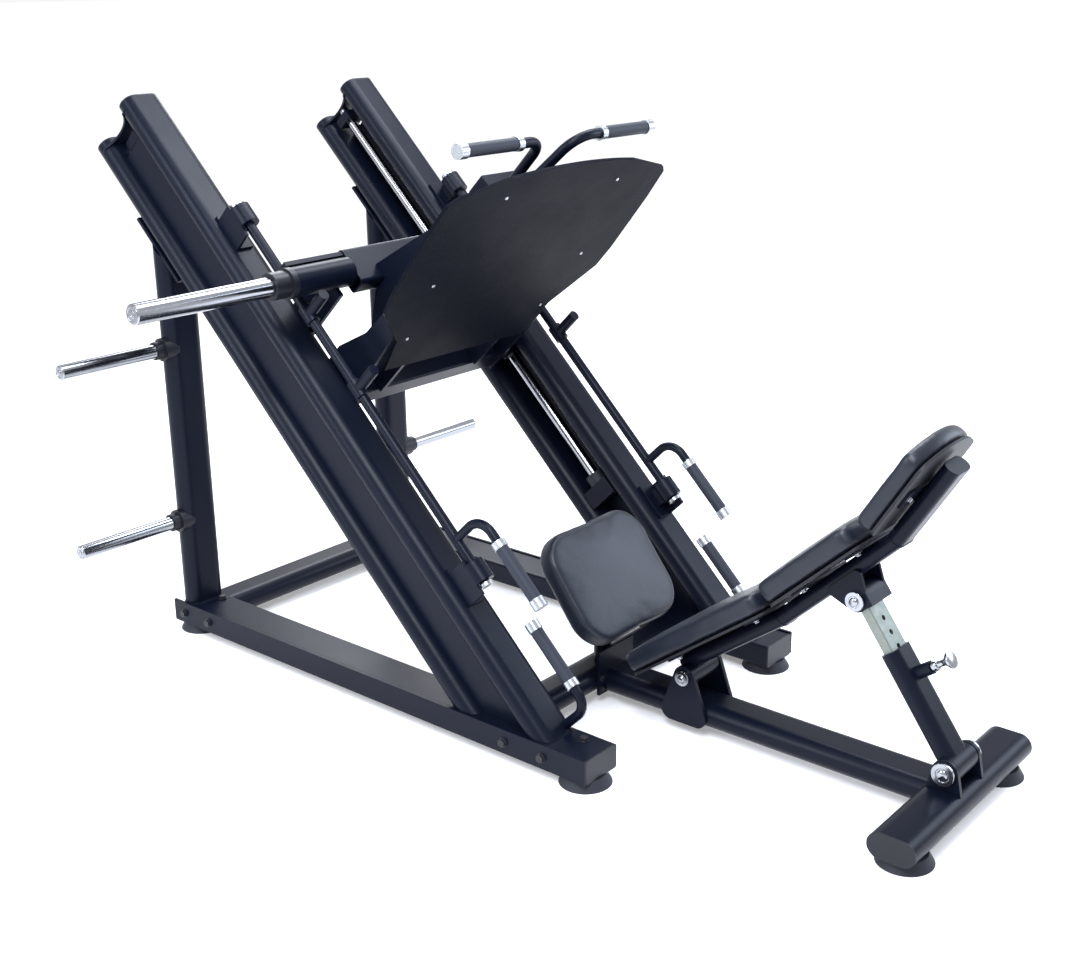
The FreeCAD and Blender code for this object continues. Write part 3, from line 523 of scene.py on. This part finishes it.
def knob():
    """The lock pin: its rod, collar and flared chrome knob in one turned piece."""
    y, z = STRUT_FOOT
    along = Vector((0, CLEVIS[0] - y, CLEVIS[1] - z)).normalized()
    out = Vector((0, -along.z, along.y))
    bm = bmesh.new()
    lathe(bm, KNOB_OUTLINE, Vector((0, y, z)) + along * KNOB_UP, out, 48)
    piece = declare("lock_pin_knob", finish_mesh("lock_pin_knob", bm, 0.8), CHROME, "lock_pin")
    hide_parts("pop_pin")


pivot_caps()
horn_ends()
strap_bolts()
spine_beads()
upright_beads()
knob()

# ---------------------------------------------------------------- stage, light and camera
FLOOR_HALF = 150.0         # far enough out to meet the horizon
CLEAR_SKY = (0.86, 0.91, 1.0)
# each lamp: name, place, where it points, its size, its power in watts, its tint
LAMPS = (("key", (-2.2, -1.2, 3.6), (0, 0, 0.5), (1.1, 2.6), 190.0, CLEAR_SKY),
         ("overhead", (0.9, 0.2, 3.9), (0, 0.2, 0.6), (1.2, 2.8), 150.0, CLEAR_SKY),
         ("side", (-4.0, 1.6, 2.4), (0, 0.2, 0.6), (1.0, 2.6), 110.0, (0.84, 0.90, 1.0)),
         ("rear", (3.0, 3.4, 3.4), (0, 0, 0.8), (1.6, 2.4), 120.0, (0.90, 0.94, 1.0)),
         ("front_fill", (3.0, -2.35, 2.1), (0, -0.25, 0.4), (2.0, 2.0), 80.0, (0.72, 0.83, 1.0)))
CAMERA_PLACE = (-2.7176, -2.247, 1.720)
CAMERA_RIGHT = Vector((0.639022, -0.769138, -0.008766))
CAMERA_DOWN = Vector((-0.250906, -0.19766, -0.947616))
CAMERA_AHEAD = Vector((0.727116, 0.607747, -0.31929))


def lamp(name, place, target, size, power, tint):
    """A soft rectangular light that points at a target."""
    data = bpy.data.lights.new(name, "AREA")
    data.shape = "RECTANGLE"
    data.size, data.size_y = size
    data.energy = power
    data.color = tint
    obj = bpy.data.objects.new(name, data)
    obj.location = place
    obj.rotation_mode = "QUATERNION"
    obj.rotation_quaternion = (Vector(target) - Vector(place)).to_track_quat("-Z", "Y")
    bpy.context.scene.collection.objects.link(obj)


def make_stage():
    """A pale floor that glows slightly, under a pale studio sky."""
    half = FLOOR_HALF
    mesh = bpy.data.meshes.new("floor")
    mesh.from_pydata([(-half, -half, 0), (half, -half, 0), (half, half, 0), (-half, half, 0)], [],
                     [(0, 1, 2, 3)])
    floor = bpy.data.objects.new("floor", mesh)
    bpy.context.scene.collection.objects.link(floor)
    mat, _, bsdf = shader("pale_floor", (0.86, 0.86, 0.87), 0.75)
    bsdf.inputs["Emission Color"].default_value = (1.0, 1.0, 1.0, 1.0)
    bsdf.inputs["Emission Strength"].default_value = 0.22
    mesh.materials.append(mat)
    world = bpy.data.worlds.new("studio")
    bpy.context.scene.world = world
    world.use_nodes = True
    background = world.node_tree.nodes["Background"]
    background.inputs["Color"].default_value = (0.98, 0.985, 1.0, 1.0)
    background.inputs["Strength"].default_value = 0.95


def make_camera():
    """The photograph's viewpoint, as worked out from the machine's parallel edges."""
    data = bpy.data.cameras.new("camera")
    data.sensor_width = 36.0
    data.lens = 49.0
    camera = bpy.data.objects.new("camera", data)
    turn = Matrix((CAMERA_RIGHT, -CAMERA_DOWN, -CAMERA_AHEAD)).transposed().to_4x4()
    camera.matrix_world = Matrix.Translation(CAMERA_PLACE) @ turn
    bpy.context.scene.collection.objects.link(camera)
    bpy.context.scene.camera = camera


make_stage()
bpy.context.scene.view_settings.view_transform = "Standard"
for settings in LAMPS:
    lamp(*settings)
make_camera()
